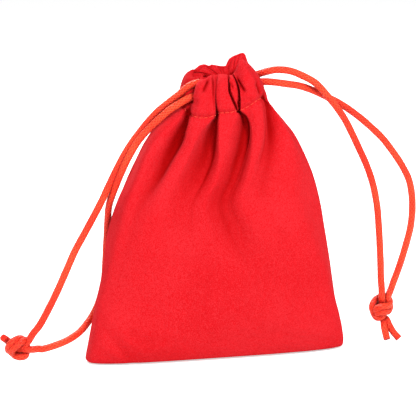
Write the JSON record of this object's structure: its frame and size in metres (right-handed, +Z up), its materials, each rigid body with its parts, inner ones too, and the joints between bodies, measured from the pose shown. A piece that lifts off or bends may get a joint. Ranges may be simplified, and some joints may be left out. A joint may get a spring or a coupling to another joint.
{
  "type": "drawstring pouch",
  "caption": "Small velvet drawstring pouch cinched at the neck by two knotted satin cords, standing on its bottom fold, with an opening mouth and swinging cord loops.",
  "frame": {"origin": "centre of the flat underside of the bottom fold", "axes": "+Z up towards the mouth, +X along the bag's width towards the right cord, -Y the front wall"},
  "size_m": [0.1609, 0.03, 0.1128],
  "materials": {
    "velvet": "red short-pile velvet with a soft sheen",
    "cord": "orange-red satin rattail cord",
    "thread": "salmon sewing thread"
  },
  "bodies": {
    "pouch": {"bottom_fold": "velvet", "left_seam_allowance": "velvet", "right_seam_allowance": "velvet", "left_side_stitching": "thread", "right_side_stitching": "thread"},
    "front_wall": {"front_panel": "velvet", "front_hem": "velvet", "front_hem_stitching": "thread", "left_cord_front_run": "cord", "right_cord_front_run": "cord"},
    "back_wall": {"back_panel": "velvet", "back_hem": "velvet", "back_hem_stitching": "thread", "left_cord_back_run": "cord", "right_cord_back_run": "cord"},
    "left_cord_ends": {"left_cord_back_end": "cord", "left_cord_front_end": "cord"},
    "left_strands": {"left_cord_back_strand": "cord", "left_cord_front_strand": "cord"},
    "left_loop": {"left_loop_back_strand": "cord", "left_loop_front_strand": "cord", "left_knot": "cord", "left_tail": "cord"},
    "right_cord_ends": {"right_cord_back_end": "cord", "right_cord_front_end": "cord"},
    "right_strands": {"right_cord_back_strand": "cord", "right_cord_front_strand": "cord"},
    "right_loop": {"right_loop_back_strand": "cord", "right_loop_front_strand": "cord", "right_knot": "cord", "right_tail_inner": "cord", "right_tail_outer": "cord"}
  },
  "joints": [
    {"name": "mouth_open", "type": "hinge", "parent": "pouch", "child": "front_wall", "pos_m": [0, -0.0125, 0.002], "axis": [1, 0, 0], "range_deg": [0, 4]},
    {"name": "mouth_open_back", "type": "hinge", "parent": "pouch", "child": "back_wall", "pos_m": [0, 0.0125, 0.002], "axis": [-1, 0, 0], "range_deg": [0, 4]},
    {"name": "left_cord_feed", "type": "slide", "parent": "pouch", "child": "left_cord_ends", "axis": [0.342, 0, 0.9397], "range_m": [0, 0.003]},
    {"name": "left_cord_swing", "type": "hinge", "parent": "left_cord_ends", "child": "left_strands", "pos_m": [-0.0135, 0, 0.1003], "axis": [0, 1, 0], "range_deg": [0, 50]},
    {"name": "left_cord_bend", "type": "hinge", "parent": "left_strands", "child": "left_loop", "pos_m": [-0.0407, 0, 0.0638], "axis": [0, 1, 0], "range_deg": [0, 30]},
    {"name": "right_cord_feed", "type": "slide", "parent": "pouch", "child": "right_cord_ends", "axis": [-0.9613, 0, -0.2756], "range_m": [0, 0.003]},
    {"name": "right_cord_swing", "type": "hinge", "parent": "right_cord_ends", "child": "right_strands", "pos_m": [0.0212, 0, 0.1063], "axis": [0, -1, 0], "range_deg": [0, 45]},
    {"name": "right_cord_bend", "type": "hinge", "parent": "right_strands", "child": "right_loop", "pos_m": [0.0429, 0, 0.0965], "axis": [0, -1, 0], "range_deg": [0, 50]}
  ],
  "couplings": [
    {"joint": "mouth_open_back", "follows": "mouth_open", "ratio": 1},
    {"joint": "left_cord_feed", "follows": "mouth_open", "m_per_rad": 0.04295},
    {"joint": "right_cord_feed", "follows": "mouth_open", "m_per_rad": 0.04295}
  ]
}
